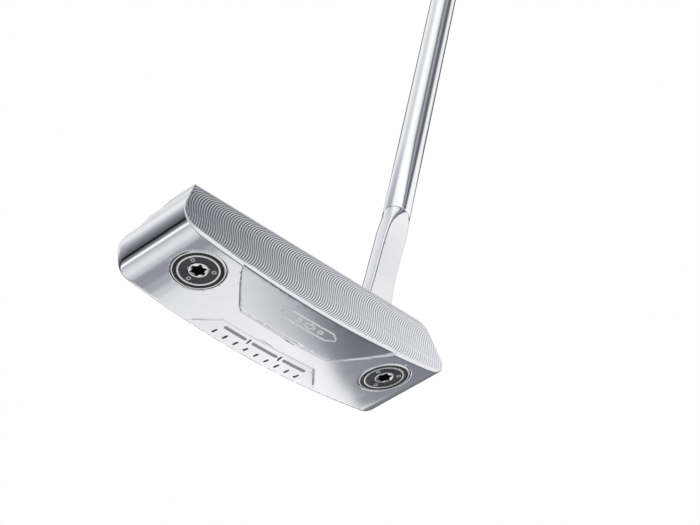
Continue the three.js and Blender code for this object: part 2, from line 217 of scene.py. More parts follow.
# sole relief: panels, their edge grooves, generic bars, ornament and slots
front_panel = spline([(-35.2, 0.3), (-32.8, 4.0), (-23.2, 13.9), (-21.9, 15.0), (-20.6, 15.8), (-18.8, 16.2), (0, 16.3), (17.2, 16.4), (18.9, 16.2), (20.4, 15.4), (31.8, 4.0), (34.6, 0.3)], 4)
front_panel = np.vstack([front_panel, [(36, -3), (-37, -3)]])
rear_panel = np.vstack([spline([(-29.9, 31.8), (-22.3, 24.3), (-21.2, 23.35), (-19.8, 23.0), (0, 22.6), (17.8, 22.3), (19.2, 22.5), (20.4, 23.3), (28.6, 31.2)], 4), [(32, 36), (-33, 36)]])
FP = Field(front_panel, (-60.0, -3.0), (60.0, 36.0))
RP = Field(rear_panel, (-60.0, -3.0), (60.0, 36.0))
SLOT_X = [-0.5 + (i - 4) * 4.65 for i in range(9)]
SLOT_Y, SLOT_ANG = 29.0, 10.0
BARS = [(-18.3, -8.6), (-6.0, 5.4), (8.0, 18.4)]
SLASH = [-7.3, 6.7]


def capsule(x, y, x0, y0, x1, y1, r):
    ex, ey = x1 - x0, y1 - y0
    h = np.clip(((x - x0) * ex + (y - y0) * ey) / (ex * ex + ey * ey), 0, 1)
    return np.hypot(x - x0 - ex * h, y - y0 - ey * h) - r


def open_path(points, lo=None, hi=None):
    """The part of a panel outline whose y lies between lo and hi, as an evenly spaced open line."""
    p = np.array([q for q in points if (lo is None or q[1] >= lo) and (hi is None or q[1] <= hi)])
    t = np.concatenate([[0], np.cumsum(np.linalg.norm(np.diff(p, axis=0), axis=1))])
    n = max(8, int(t[-1] / 0.5))
    u = np.linspace(0, t[-1], n)
    return np.stack([np.interp(u, t, p[:, 0]), np.interp(u, t, p[:, 1])], -1)


def path_field(path, r, lo, hi):
    """Signed distance to a thick open line, on a grid."""
    f = Field.__new__(Field)
    f.lo, f.step = lo, 0.15
    f.n = [int(math.ceil((hi[i] - lo[i]) / 0.15)) + 1 for i in range(2)]
    a = (lo[0] + 0.15 * np.arange(f.n[0], dtype=np.float32))[:, None]
    b = (lo[1] + 0.15 * np.arange(f.n[1], dtype=np.float32))[None, :]
    d = np.full((f.n[0], f.n[1]), 1e3, np.float32)
    for (x0, y0), (x1, y1) in zip(path[:-1], path[1:]):
        d = np.minimum(d, capsule(a, b, x0, y0, x1, y1, 0.0))
    f.v = (d - r).astype(np.float32)
    return f


FRONT_LINE = open_path(front_panel, lo=4.2)
REAR_LINE = open_path(rear_panel, hi=31.0)
FG = path_field(FRONT_LINE, 0.20, (-60.0, -3.0), (60.0, 36.0))
RG = path_field(REAR_LINE, 0.20, (-60.0, -3.0), (60.0, 36.0))


rear_depth = lambda y: 0.13 + 0.006 * (31.5 - y)


def relief(x, y):
    """Depth of everything cut into the sole, measured up from its camber."""
    fp, rp = FP(x, y), RP(x, y)
    d = 0.78 * np.clip((16.6 - y) / 16.6, 0, 1) ** 1.15 * smoothstep(0.10, -0.22, fp)
    d = np.maximum(d, 0) + 0.45 * smoothstep(0.02, -0.08, FG(x, y)) * (1 - 0.9 * smoothstep(0.1, 0.5, d))
    d = d + rear_depth(y) * smoothstep(0.12, -0.12, rp)
    d = d + 0.30 * smoothstep(0.02, -0.08, RG(x, y))
    for x0, x1 in BARS:
        d = d + 0.25 * smoothstep(0.06, -0.06, capsule(x, y, x0 + 0.7, 25.35, x1 - 0.7, 25.35, 0.28))
    for xs in SLASH:
        d = d + 0.25 * smoothstep(0.06, -0.06, capsule(x, y, xs - 0.15, 24.7, xs + 0.05, 26.1, 0.12))
    s, c = math.sin(SLOT_ANG * DEG), math.cos(SLOT_ANG * DEG)
    for xs in SLOT_X:
        d = d + 0.55 * smoothstep(0.06, -0.06, capsule(x, y, xs + 0.62 * s, SLOT_Y - 0.62 * c, xs - 0.62 * s, SLOT_Y + 0.62 * c, 0.28))
    return d


TILT = 7.36 * DEG
WX, WY = 42.57, 12.34
WZ = WX ** 2 / (2 * CAMBER_R) - 0.02
MILL_IN = 0.5      # the milled area stops this far inside the outline, and further above the sole


def mill_low(x):
    return camber(x) + 1.15 + 0.72 * smoothstep(38.0, 27.0, np.abs(x))


def mill_edge(x, z):
    """Signed distance (negative inside) to the edge of the milled area of the face."""
    return np.maximum(F2(x, z) + MILL_IN, np.maximum(z - (TOP - 0.55), mill_low(x) - z))


def head(x, y, z):
    F = F2(x, z)
    S = S2(y, z)
    low = smoothstep(11.0, 5.0, z)
    r = 0.32 + 0.75 * low * smoothstep(8.0, 2.0, y)
    b = cut_round(F, S, r.astype(np.float32))
    b = cut_round(b, P2(x, y), np.float32(0.9))
    # relief in the sole
    dep = relief(x, y)
    b = np.where(dep > 1e-4, cut_round(b, camber(x) + dep - z, ((0.16 + 0.75 * smoothstep(4.5, 1.0, y)) * smoothstep(0.05, 0.4, dep)).astype(np.float32)), b)
    # shallow seat of the milled skin
    seat = cut_round(mill_edge(x, z) + 0.03, (y - z * LOFT) - 0.13, np.float32(0.02))
    b = np.maximum(b, -seat)
    # cavity behind the face
    wide = 25.6 + 1.7 * np.clip((z - 6.4) / 17, 0, 1)
    side = np.abs(x) - wide
    front = (7.3 + 0.03 * (TOP - z)) - y
    cav = cut_round(side, front, np.float32(2.6))
    cav = cut_round(cav, 6.4 - z, np.float32(1.1))
    b = cut_round(b, -cav, np.float32(0.4))
    # sight line
    sight = np.maximum(capsule(x, y, 0, 13.3, 0, 27.7, 0.8), 5.5 - z)
    b = cut_round(b, -np.maximum(sight, -3 + z * 0), np.float32(0.12))
    # weight pockets
    for s in (-1, 1):
        ox, oy, oz = s * math.sin(TILT), 0.0, -math.cos(TILT)
        w = (x - s * WX) * ox + (z - WZ) * oz
        q = (x - s * WX) * math.cos(TILT) + (z - WZ) * s * math.sin(TILT)
        rad = np.sqrt(q * q + (y - WY) ** 2)
        pocket = np.maximum(rad - 8.8, -4.05 - w)
        tap = np.maximum(rad - 4.25, -10.0 - w)
        flare = rad - 8.8 - np.clip(w + 0.22, 0, 3)
        b = np.maximum(b, -np.minimum(np.minimum(pocket, tap), np.maximum(flare, -0.4 - w)))
    return b


SWEEP = [(20, 1.7), (30, 1.35), (40, 0.9), (50, 0.45), (60, 0.1), (66, 0), (80, 0)]
FLAT = [(20, 5.1), (27.4, 4.6), (32, 4.2), (38.2, 3.85), (46.4, 3.5), (52.8, 3.15), (58.5, 2.75), (62.5, 2.3), (65.7, 1.75), (68.4, 1.2), (70.4, 0.5), (71.6, -0.1), (72.4, -1.0), (80, -2.0)]
FLARE = [(20, 2.3), (25, 1.9), (29, 1.3), (34, 0.55), (39, 0.1), (43, 0), (80, 0)]
_tt = np.linspace(15, 80, 521)


def _soft(tab, w=3.0):
    v = table(tab, _tt)
    k = np.exp(-0.5 * (np.arange(-40, 41) * (_tt[1] - _tt[0]) / w) ** 2)
    k /= k.sum()
    return np.convolve(np.pad(v, 40, mode="edge"), k, mode="valid")


SWEEP_S, FLAT_S, FLARE_S = _soft(SWEEP), _soft(FLAT, 0.8), _soft(FLARE)


def neck(x, y, z):
    t = (x - SX) * A[0] + z * A[2]
    u = (x - SX) * ACR[0] + z * ACR[2]
    v0 = np.interp(t, _tt, SWEEP_S)
    fl = np.interp(t, _tt, FLAT_S)
    fr = np.interp(t, _tt, FLARE_S)
    v = y - SY - v0
    u = np.where(u > 0, u / (1 + fr / 4.75), u)
    p = 2 + 1.1 * smoothstep(71.0, 60.0, t)
    rr = (np.abs(u) ** p + np.abs(v) ** p + 1e-6) ** (1 / p)
    d = cut_round(rr - 4.75, fl - y, np.float32(0.55))
    return cut_round(d, t - 72.55, np.float32(0.15))


def solid(x, y, z):
    h = head(x, y, z)
    n = neck(x, y, z)
    n = np.maximum(n, 15.5 - z)
    return join_round(h, n, np.float32(1.6))


def build_head():
    h = 0.2
    band = 3 * h
    grid = openvdb.FloatGrid(band)
    for (x0, x1, y0, y1, z0, z1), fn in ((((-61, 61, -1.2, 33.2, -1.2, 25.4)), None), (((30, 54, -2.0, 12.5, 25.4, 71.5)), None)):
        i0, j0, k0 = [int(math.floor(q / h)) for q in (x0, y0, z0)]
        i1, j1, k1 = [int(math.ceil(q / h)) for q in (x1, y1, z1)]
        if z0 > 20:
            k0 = int(math.ceil(25.4 / h)) + 1
        X = (np.arange(i0, i1 + 1, dtype=np.float32) * np.float32(h))[:, None, None]
        Y = (np.arange(j0, j1 + 1, dtype=np.float32) * np.float32(h))[None, :, None]
        Z = (np.arange(k0, k1 + 1, dtype=np.float32) * np.float32(h))[None, None, :]
        d = solid(X, Y, Z)
        d = np.clip(np.broadcast_to(d, (X.size, Y.size, Z.size)), -band, band)
        grid.copyFromArray(np.ascontiguousarray(d, dtype=np.float32), ijk=(i0, j0, k0))
    grid.transform = openvdb.createLinearTransform(voxelSize=h)
    pts, tris, quads = grid.convertToPolygons(isovalue=0.0, adaptivity=0.012)
    p = pts.astype(np.float64)

    def grad(q, e):
        g = np.empty_like(q)
        for a in range(3):
            o = np.zeros(3); o[a] = e
            hi, lo = q + o, q - o
            g[:, a] = (solid(hi[:, 0], hi[:, 1], hi[:, 2]) - solid(lo[:, 0], lo[:, 1], lo[:, 2])) / (2 * e)
        return g

    for _ in range(2):
        f = solid(p[:, 0], p[:, 1], p[:, 2])
        g = grad(p, 0.05)
        step = f / np.maximum((g * g).sum(1), 0.25)
        p -= np.clip(step, -0.6 * h, 0.6 * h)[:, None] * g
    g = grad(p, 0.07)
    nrm = g / np.maximum(np.linalg.norm(g, axis=1), 1e-6)[:, None]
    # the polygons come wound for an inward or outward normal: test one and flip all if needed
    q = np.asarray(quads, np.int64)
    t = np.asarray(tris, np.int64)
    a, b_, c_ = p[q[:, 0]], p[q[:, 1]], p[q[:, 2]]
    side = (np.cross(b_ - a, c_ - a) * nrm[q[:, 0]]).sum(1)
    if np.median(side) < 0:
        q, t = q[:, ::-1], t[:, ::-1]
    ob = mesh_arrays("putter_head_body", M(p), q, t)
    ob.data.normals_split_custom_set_from_vertices([tuple(v) for v in nrm])
    return ob


head_ob = build_head()
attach(head_ob, ROOT)
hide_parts("putter_head")

# ------------------------------------------------------------------------------------------
# milled skin of the face: two families of cutter arcs, as real relief
# ------------------------------------------------------------------------------------------
PITCH, ARC_R, ARC_Z = 1.0, 11.6, 11.75


def mill_height(x, z):
    """How far the surface lies above the bottom of the deepest groove."""
    w = np.clip(1 - ((z - ARC_Z) / ARC_R) ** 2, 0.0, 1)
    s = ARC_R * np.sqrt(w)
    slope = np.sqrt(np.maximum(w, 1e-3))
    fade = smoothstep(0.16, 0.42, slope)
    up = 0.5 + 0.5 * np.cos(2 * np.pi * (x + s) / PITCH)
    lo = 0.5 + 0.5 * np.cos(2 * np.pi * (x - s) / PITCH)
    ku = smoothstep(5.5, 12.5, z)
    kl = smoothstep(16.5, 9.5, z)
    tot = np.maximum(ku + kl, 1e-3)
    return (ku * up ** 0.8 + kl * lo ** 0.8) / tot ** 0.6 * fade


def build_mill():
    nx, nz = ((780, 76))
    V, N = [], []
    zs = np.linspace(0, 1, nz + 1)
    xs = np.linspace(0, 1, nx + 1)
    # the milled area, row by row: left and right ends found on the outline field
    topz = TOP - 0.55
    # rows are curved at the bottom to follow the camber
    grid = np.zeros((nz + 1, nx + 1, 2))
    xx = np.linspace(-61, 61, 2441)
    for j, s in enumerate(zs):
        zline = mill_low(xx) * (1 - s) + topz * s
        inside = F2(xx, zline) + MILL_IN < 0
        x0, x1 = xx[inside][0], xx[inside][-1]
        gx = x0 + (x1 - x0) * xs
        grid[j, :, 0] = gx
        grid[j, :, 1] = mill_low(gx) * (1 - s) + topz * s
    gx, gz = grid[:, :, 0], grid[:, :, 1]

    D = 0.022

    def ypos(x, z):
        edge = np.maximum(F2(x, z) + MILL_IN, np.maximum(z - topz, mill_low(x) - z))
        k = smoothstep(0.0, -0.35, edge)
        return z * LOFT + 0.03 + (D - 0.03) * k - D * k * mill_height(x, z)

    y = ypos(gx, gz)
    e = 0.02
    dx = (ypos(gx + e, gz) - ypos(gx - e, gz)) / (2 * e)
    dz = (ypos(gx, gz + e) - ypos(gx, gz - e)) / (2 * e)
    n = np.stack([dx, -np.ones_like(dx), dz], -1)
    n /= np.linalg.norm(n, axis=-1, keepdims=True)
    front = np.stack([gx, y, gz], -1).reshape(-1, 3)
    # closed at the back by a second grid, coarser would break the seam, so only its border is kept
    W, H = nx + 1, nz + 1
    idx = np.arange(W * H).reshape(H, W)
    quads = np.stack([idx[:-1, :-1], idx[:-1, 1:], idx[1:, 1:], idx[1:, :-1]], -1).reshape(-1, 4)
    ring = np.concatenate([idx[0, :], idx[1:, -1], idx[-1, -2::-1], idx[-2:0:-1, 0]])
    b = front[ring].copy()
    b[:, 1] += 0.5
    base = len(front)
    bi = base + np.arange(len(ring))
    nxt = np.roll(np.arange(len(ring)), -1)
    walls = np.stack([ring, bi, bi[nxt], ring[nxt]], -1)
    verts = np.vstack([front, b, b.mean(0, keepdims=True)])
    ctr = base + len(ring)
    tris = np.stack([bi, np.full(len(ring), ctr), bi[nxt]], -1)
    allq = np.vstack([quads, walls])
    ob = mesh_arrays("putter_head_milled_face", M(verts), allq, tris)
    vn = np.zeros((len(verts), 3))
    vn[:base] = n.reshape(-1, 3)
    vn[base:, 1] = 1
    loops = np.zeros(len(ob.data.loops), np.int32)
    ob.data.loops.foreach_get("vertex_index", loops)
    ln = vn[loops].astype(np.float32)
    nq = len(quads) * 4
    ln[nq:] = 0       # walls and back keep their own normals
    ob.data.normals_split_custom_set([tuple(v) for v in ln])
    return ob


mill_ob = build_mill()
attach(mill_ob, ROOT)


# ------------------------------------------------------------------------------------------
# turned pieces
# ------------------------------------------------------------------------------------------
def loft(name, rings, place, cap_start=True, cap_end=True, loop=False):
    """A closed skin through rings of points (each an (n, 3) array in local mm); place maps to mm."""
    n = len(rings[0])
    P = np.vstack(rings)
    k = len(rings)
    idx = np.arange(k * n).reshape(k, n)
    a, b = idx[:-1], idx[1:]
    q = np.stack([a, np.roll(a, -1, 1), np.roll(b, -1, 1), b], -1).reshape(-1, 4)
    if loop:
        q = np.vstack([q, np.stack([idx[-1], np.roll(idx[-1], -1), np.roll(idx[0], -1), idx[0]], -1)])
    tris = []
    extra = []
    if not loop and cap_start:
        extra.append(rings[0].mean(0)); c0 = len(P)
        tris.append(np.stack([np.roll(idx[0], -1), idx[0], np.full(n, c0)], -1))
    if not loop and cap_end:
        c1 = len(P) + len(extra); extra.append(rings[-1].mean(0))
        tris.append(np.stack([idx[-1], np.roll(idx[-1], -1), np.full(n, c1)], -1))
    if extra:
        P = np.vstack([P, np.array(extra)])
    t = np.vstack(tris) if tris else np.zeros((0, 3), int)
    ob = mesh_arrays(name, M(place(P)), q, t)
    bm = bmesh.new(); bm.from_mesh(ob.data)
    bmesh.ops.recalc_face_normals(bm, faces=bm.faces)
    bm.to_mesh(ob.data); bm.free()
    return auto_smooth(ob, 38)


def circle_rings(profile, n=96):
    th = np.linspace(0, 2 * np.pi, n, endpoint=False)
    out = []
    for r, z in profile:
        r = np.broadcast_to(r(th) if callable(r) else r, th.shape)
        z = np.broadcast_to(z(th) if callable(z) else z, th.shape)
        out.append(np.stack([r * np.cos(th), r * np.sin(th), z], -1))
    return out


def frame_map(origin, ex, ey, ez):
    o, B = np.array(origin, float), np.array([ex, ey, ez], float)
    return lambda P: o + np.asarray(P) @ B


def fillet(points, radii, n=4):
    """Rounds the corners of an open (r, z) line; radii is one number or one per point."""
    p = [np.array(q, float) for q in points]
    rad = radii if hasattr(radii, "__len__") else [radii] * len(p)
    out = [p[0]]
    for i in range(1, len(p) - 1):
        a, b, c = p[i - 1], p[i], p[i + 1]
        d1, d2 = a - b, c - b
        l1, l2 = np.linalg.norm(d1), np.linalg.norm(d2)
        r = min(rad[i], 0.49 * l1, 0.49 * l2)
        if r < 1e-4:
            out.append(b); continue
        s, e = b + d1 / l1 * r, b + d2 / l2 * r
        for k in range(n + 1):
            t = k / n
            out.append((1 - t) ** 2 * s + 2 * t * (1 - t) * b + t * t * e)
    out.append(p[-1])
    return [tuple(q) for q in out]


SHAFT = frame_map((SX, SY, 0), ACR, (0, 1, 0), A)

# shaft: plated steel tube with swaged steps
TIP_R, WALL, START, CLUB, CAP, BUTT = 4.75, 0.5, 72.8, 864.0, 5.0, 7.62
STEP0, STEPP, STEPS = 250.0, 48.0, 7
SEND = CLUB - CAP - 1.2
TIP_V = 4.82
outer = [(TIP_R - 0.22, START), (TIP_R - 0.04, START + 0.1), (TIP_V, START + 0.4), (TIP_V, START + 40)]
for i in range(STEPS):
    z = STEP0 + i * STEPP
    r0, r1 = TIP_V + i * (BUTT - TIP_V) / STEPS, TIP_V + (i + 1) * (BUTT - TIP_V) / STEPS
    outer += [(r0, z - 0.5), (r0 + 0.03, z), (r0 + (r1 - r0) * 0.5, z + 0.8), (r1 - 0.03, z + 1.6), (r1, z + 2.2)]
outer += [(BUTT, SEND)]
inner = [(BUTT - WALL, SEND), (BUTT - WALL, 590), (TIP_R - WALL, STEP0), (TIP_R - WALL, START)]
shaft = loft("shaft_tube", circle_rings(outer + inner, 96), SHAFT, loop=True)
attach(shaft, ROOT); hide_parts("shaft")
tang = loft("neck_tang", circle_rings([(3.2, 71.0), (3.2, 100.0), (2.4, 101.0)], 32), SHAFT)
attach(tang, ROOT)

# ------------------------------------------------------------------------------------------
# sole weights
# ------------------------------------------------------------------------------------------
DISC, STUD_L, STUD_R, WR = 3.4, 5.6, 4.0, 8.585
star = lambda th: 2.12 + 0.36 * np.cos(6 * th) + 0.05 * np.cos(12 * th)
star_at = lambda k: (lambda th: star(th) + k)


def thread(z):
    """Ring at height z of a 1 mm pitch right-hand thread that fades at both ends."""
    def r(th):
        ph = (z - th / (2 * np.pi)) % 1.0
        tri = 1 - np.abs(ph * 2 - 1)
        depth = 0.55 * np.clip(tri * 1.25 - 0.1, 0, 1)
        return STUD_R - 0.62 + depth
    return (r, z)


weights = {}
for s, name in ((-1, "toe"), (1, "heel")):
    o = np.array([s * math.sin(TILT), 0, -math.cos(TILT)])
    e1 = np.array([math.cos(TILT), 0, s * math.sin(TILT)])
    P = frame_map((s * WX, WY, WZ), e1, (0, -1, 0), o)
    body, travel = f"{name}_weight", f"{name}_weight_travel"
    n = 120
    prof = [(STUD_R - 1.1, -DISC - STUD_L), (STUD_R - 0.62, -DISC - STUD_L + 0.45)]
    rings = circle_rings(prof, n)
    for z in np.arange(-DISC - STUD_L + 0.5, -DISC - 0.7, 0.11):
        rings += circle_rings([thread(z)], n)
    rest = fillet([(STUD_R - 0.62, -DISC - 0.6), (STUD_R - 0.62, -DISC), (WR - 0.02, -DISC), (WR, -0.34), (WR - 0.30, -0.02), (7.92, -0.02), (7.88, -0.8), (6.77, -0.8), (6.73, -0.02), (6.08, -0.02), (6.04, -0.8), (3.22, -0.8), (3.19, -0.10), (3.02, 0.0), (2.86, 0.0)],
                  [0, .12, .3, .12, .06, .05, 0, 0, .05, .05, 0, 0, .04, .05, 0], 4)
    rings += circle_rings(rest, n)
    rings += circle_rings([(star_at(0.32), -0.02), (star_at(0.12), -0.10), (star_at(0.02), -0.3), (star, -0.6), (star, -2.6), (star_at(-0.12), -2.85), (lambda th: star(th) * 0.75 - 0.1, -2.95), (lambda th: 0.9 + 0 * th, -3.15), (0.3, -3.3)], n)
    socket_from = (len(rings) - 8) * n
    screw = loft(f"{name}_weight_body", rings, P)
    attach(screw, body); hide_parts(f"{name}_weight_screw")
    out_in = loft(f"{name}_weight_black_ring", circle_rings(fillet([(6.80, -0.75), (6.80, -0.16), (6.95, -0.10), (7.70, -0.10), (7.85, -0.16), (7.85, -0.75), (6.80, -0.75)], 0.05, 3)[:-1], 96), P, loop=True)
    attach(out_in, body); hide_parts(f"{name}_weight_outer_inlay")
    face = [(3.46, -0.75), (3.46, -0.20)] + [(r, -0.14 - 0.012 * (1 - math.cos(2 * math.pi * (r - 3.6) / 0.22))) for r in np.arange(3.6, 5.9, 0.055)] + [(6.02, -0.20), (6.02, -0.75)]
    in_in = loft(f"{name}_weight_dark_disc", circle_rings(face, 120), P, loop=True)
    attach(in_in, body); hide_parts(f"{name}_weight_inner_inlay")
    # three plain index marks, small rounded frames with no lettering
    base = {"toe": -36.0, "heel": -44.0}[name]
    verts, quads = [], []
    for i in range(3):
        a = (base + 120 * i) * DEG
        cx, cy = 4.78 * math.cos(a), -4.78 * math.sin(a)
        k = 40
        th = np.linspace(0, 2 * np.pi, k, endpoint=False)
        sq = lambda r: np.stack([r * np.sign(np.cos(th)) * np.abs(np.cos(th)) ** 0.45, 0.9 * r * np.sign(np.sin(th)) * np.abs(np.sin(th)) ** 0.45], -1)
        prof2 = [(0.70, -0.3), (0.72, -0.12), (0.66, -0.085), (0.44, -0.085), (0.38, -0.12), (0.38, -0.3)]
        off = len(verts)
        for r, z in prof2:
            q2 = sq(r)
            ca, sa = math.cos(-a), math.sin(-a)
            for u, v in q2:
                verts.append((cx + u * ca - v * sa, cy + u * sa + v * ca, z))
        for j in range(len(prof2)):
            j2 = (j + 1) % len(prof2)
            for t in range(k):
                t2 = (t + 1) % k
                quads.append((off + j * k + t, off + j * k + t2, off + j2 * k + t2, off + j2 * k + t))
    marks = mesh_arrays(f"{name}_weight_index_marks", M(P(np.array(verts))), quads)
    bm = bmesh.new(); bm.from_mesh(marks.data); bmesh.ops.recalc_face_normals(bm, faces=bm.faces); bm.to_mesh(marks.data); bm.free()
    auto_smooth(marks, 40)
    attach(marks, body)
    washer = loft(f"{name}_weight_seat_washer", circle_rings(fillet([(4.5, -DISC - 0.30), (4.5, -DISC - 0.06), (8.1, -DISC - 0.06), (8.1, -DISC - 0.55), (4.5, -DISC - 0.55), (4.5, -DISC - 0.30)], 0.12, 3)[:-1], 96), P, loop=True)
    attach(washer, travel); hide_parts(f"{name}_weight_washer")
    weights[name] = (screw, out_in, in_in, marks, washer, socket_from)

# ------------------------------------------------------------------------------------------
# enamel: sole slots and sight line, stadium shaped with a dished top
# ------------------------------------------------------------------------------------------
def stadium(x0, y0, x1, y1, r, n=10):
    a = math.atan2(y1 - y0, x1 - x0)
    p = [(x1 + r * math.cos(a + q), y1 + r * math.sin(a + q)) for q in np.linspace(-math.pi / 2, math.pi / 2, n)]
    p += [(x0 + r * math.cos(a + q), y0 + r * math.sin(a + q)) for q in np.linspace(math.pi / 2, 3 * math.pi / 2, n)]
    return p


ident = frame_map((0, 0, 0), (1, 0, 0), (0, 1, 0), (0, 0, 1))


def enamel_piece(name, x0, y0, x1, y1, r, z_in, z_out, zc=None):
    ring = []
    for rr, zz in ((r, z_in), (r, z_out + 0.03), (r - 0.05, z_out), (r * 0.7, z_out + 0.01), (r * 0.35, z_out + 0.03)):
        ring.append(np.array([(px, py, zz + (camber(px) if zc is None else 0)) for px, py in stadium(x0, y0, x1, y1, rr)]))
    return loft(name, ring, ident)


ss, cc = math.sin(SLOT_ANG * DEG), math.cos(SLOT_ANG * DEG)
enamels = []
for i, xs in enumerate(SLOT_X):
    ob = enamel_piece(f"sole_slot_enamel_{i + 1}", xs + 0.58 * ss, SLOT_Y - 0.58 * cc, xs - 0.58 * ss, SLOT_Y + 0.58 * cc, 0.42, 0.60, 0.08)
    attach(ob, ROOT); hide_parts(f"sole_slot_fill_{i + 1}")
    enamels.append(ob)
def sweep_xy(name, path, section, surface, closed=False):
    """A closed section (across, depth) carried along a line on the sole; surface gives the level there."""
    p = np.asarray(path, float)
    if closed:
        t = np.roll(p, -1, 0) - np.roll(p, 1, 0)
    else:
        t = np.gradient(p, axis=0)
    t /= np.linalg.norm(t, axis=1, keepdims=True)
    nn = np.stack([-t[:, 1], t[:, 0]], -1)
    rings = []
    for k in range(len(p)):
        ring = []
        for a, dz in section:
            q = p[k] + nn[k] * a
            ring.append((q[0], q[1], surface(q[0], q[1]) + dz))
        rings.append(np.array(ring))
    return loft(name, rings, ident, loop=closed)


def panel_level(x, y):
    """Level of the sole, with the two recessed panels but without their border lines."""
    x, y = np.float32(x), np.float32(y)
    d = 0.78 * max(0.0, (16.6 - y) / 16.6) ** 1.15 * smoothstep(0.10, -0.22, FP(x, y)) + rear_depth(y) * smoothstep(0.12, -0.12, RP(x, y))
    return float(camber(x) + d)


wedge = lambda x, y: camber(x) + 0.78 * max(0.0, (16.6 - y) / 16.6) ** 1.15
groove = [(-0.45, 0.50), (-0.45, -0.03), (-0.42, -0.06), (-0.27, -0.07), (-0.21, -0.05), (-0.13, 0.03), (-0.05, 0.07), (0.05, 0.07), (0.13, 0.03), (0.21, -0.05), (0.27, -0.07), (0.42, -0.06), (0.45, -0.03), (0.45, 0.75)]
lines = [sweep_xy("sole_front_panel_groove", FRONT_LINE, groove, panel_level), sweep_xy("sole_rear_panel_groove", REAR_LINE, groove, panel_level)]
bead = [(0.30 * math.cos(q), -0.19 * math.sin(q)) for q in np.linspace(0, 2 * math.pi, 13)[:-1]]


def rounded(points, r=0.5, n=5):
    """A closed polygon with rounded corners, evenly cut."""
    p = [np.array(q, float) for q in points]
    out = []
    for i in range(len(p)):
        a, b, c = p[i - 1], p[i], p[(i + 1) % len(p)]
        s0, s1 = b + (a - b) / np.linalg.norm(a - b) * r, b + (c - b) / np.linalg.norm(c - b) * r
        out += [(1 - t) ** 2 * s0 + 2 * t * (1 - t) * b + t * t * s1 for t in np.linspace(0, 1, n)]
    o = np.array(out)
    o2 = np.vstack([o, o[:1]])
    t = np.concatenate([[0], np.cumsum(np.linalg.norm(np.diff(o2, axis=0), axis=1))])
    u = np.linspace(0, t[-1], max(24, int(t[-1] / 0.3)), endpoint=False)
    return np.stack([np.interp(u, t, o2[:, 0]), np.interp(u, t, o2[:, 1])], -1)


hexa = rounded([(-11.6, 7.2), (-8.2, 5.2), (10.2, 5.2), (13.6, 7.2), (10.2, 9.2), (-8.2, 9.2)], 0.7)
lines.append(sweep_xy("sole_ornament_frame", hexa, bead, wedge, closed=True))
for i, (cx, w, h_) in enumerate(((1.0, 2.6, 1.1), (-4.0, 1.4, 0.7), (6.0, 1.4, 0.7))):
    lines.append(sweep_xy(f"sole_ornament_lozenge_{i + 1}", rounded([(cx - w, 7.2), (cx, 7.2 - h_), (cx + w, 7.2), (cx, 7.2 + h_)], 0.3), bead, wedge, closed=True))
for ob in lines:
    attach(ob, ROOT)

greys = []
for i, (x0, x1) in enumerate(BARS):
    ob = enamel_piece(f"sole_bar_{i + 1}", x0 + 0.6, 25.35, x1 - 0.6, 25.35, 0.66, 0.38, 0.095)
    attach(ob, ROOT)
    greys.append(ob)
for i, xs in enumerate(SLASH):
    ob = enamel_piece(f"sole_divider_{i + 1}", xs - 0.20, 24.4, xs + 0.10, 26.4, 0.27, 0.38, 0.085)
    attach(ob, ROOT)
    enamels.append(ob)
ob = enamel_piece("sight_line_enamel", 0, 13.35, 0, 27.65, 0.77, 5.52, 6.2, zc=0)
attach(ob, ROOT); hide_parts("sight_line_fill")
enamels.append(ob)

# ------------------------------------------------------------------------------------------
# grip and cap
# ------------------------------------------------------------------------------------------
GS = 594.0
half = [(GS, 9.4), (GS + 5, 9.9), (GS + 90, 10.6), (GS + 180, 11.2), (GS + 230, 11.7), (CLUB, 12.2)]
rear = [(GS, 9.4), (GS + 5, 9.9), (GS + 70, 10.8), (GS + 130, 11.6), (GS + 180, 13.2), (GS + 215, 16.0), (GS + 240, 17.3), (CLUB, 16.8)]
flat_f = [(GS, 9.2), (GS + 5, 9.6), (GS + 40, 9.8), (CLUB, 9.8)]
_gt = np.linspace(GS, CLUB, 541)


def _smooth(tab, w):
    v = table(tab, _gt)
    k = np.exp(-0.5 * (np.arange(-60, 61) * 0.5 / w) ** 2); k /= k.sum()
    return np.convolve(np.pad(v, 60, mode="edge"), k, mode="valid")


HALF_S, REAR_S, FLAT_G = _smooth(half, 8), _smooth(rear, 9), _smooth(flat_f, 3)


def grip_ring(t, inset=0.0, n=112, detail=True):
    th = np.linspace(0, 2 * np.pi, n, endpoint=False)
    w, b, f = (float(np.interp(t, _gt, q)) - inset for q in (HALF_S, REAR_S, FLAT_G))
    cx = np.cos(th)
    k = smoothstep(-0.25, 0.25, cx)
    x = (k * b + (1 - k) * 1.15 * w) * cx
    y = w * np.sin(th)
    # flat front with a small radius along its edges
    d = -x - f
    x = np.where(d > -0.6, -f + 0.6 - 0.6 * np.clip((d + 0.6) / 0.6, 0, 1) ** 0.5, x)
    p = np.stack([x, y, np.full(n, t)], -1)
    if detail:
        rad = np.hypot(x, y)
        cut = np.zeros(n)
        on = smoothstep(GS + 16, GS + 20, t) * smoothstep(CLUB - 24, CLUB - 28, t)
        # round part: short scores in rows; flat part: fine lengthwise lines between two borders
        side = smoothstep(-0.35, -0.2, cx)
        ph = (t / 3.0) % 1.0
        row = smoothstep(0.32, 0.12, abs(ph - 0.5))
        gap = smoothstep(0.10, 0.2, np.abs(((th / (2 * np.pi) * 12 + (math.floor(t / 3.0) % 2) * 0.5) % 1.0) - 0.5))
        cut += 0.30 * on * side * row * gap
        front = (cx < 0) & (np.abs(y) < 5.4)
        lines = 0.5 + 0.5 * np.cos(2 * np.pi * y / 1.2)
        cut += np.where(front, 0.22 * lines * smoothstep(5.2, 4.8, np.abs(y)) * on, 0)
        p[:, 0] -= cut * x / rad
        p[:, 1] -= cut * y / rad
    return p


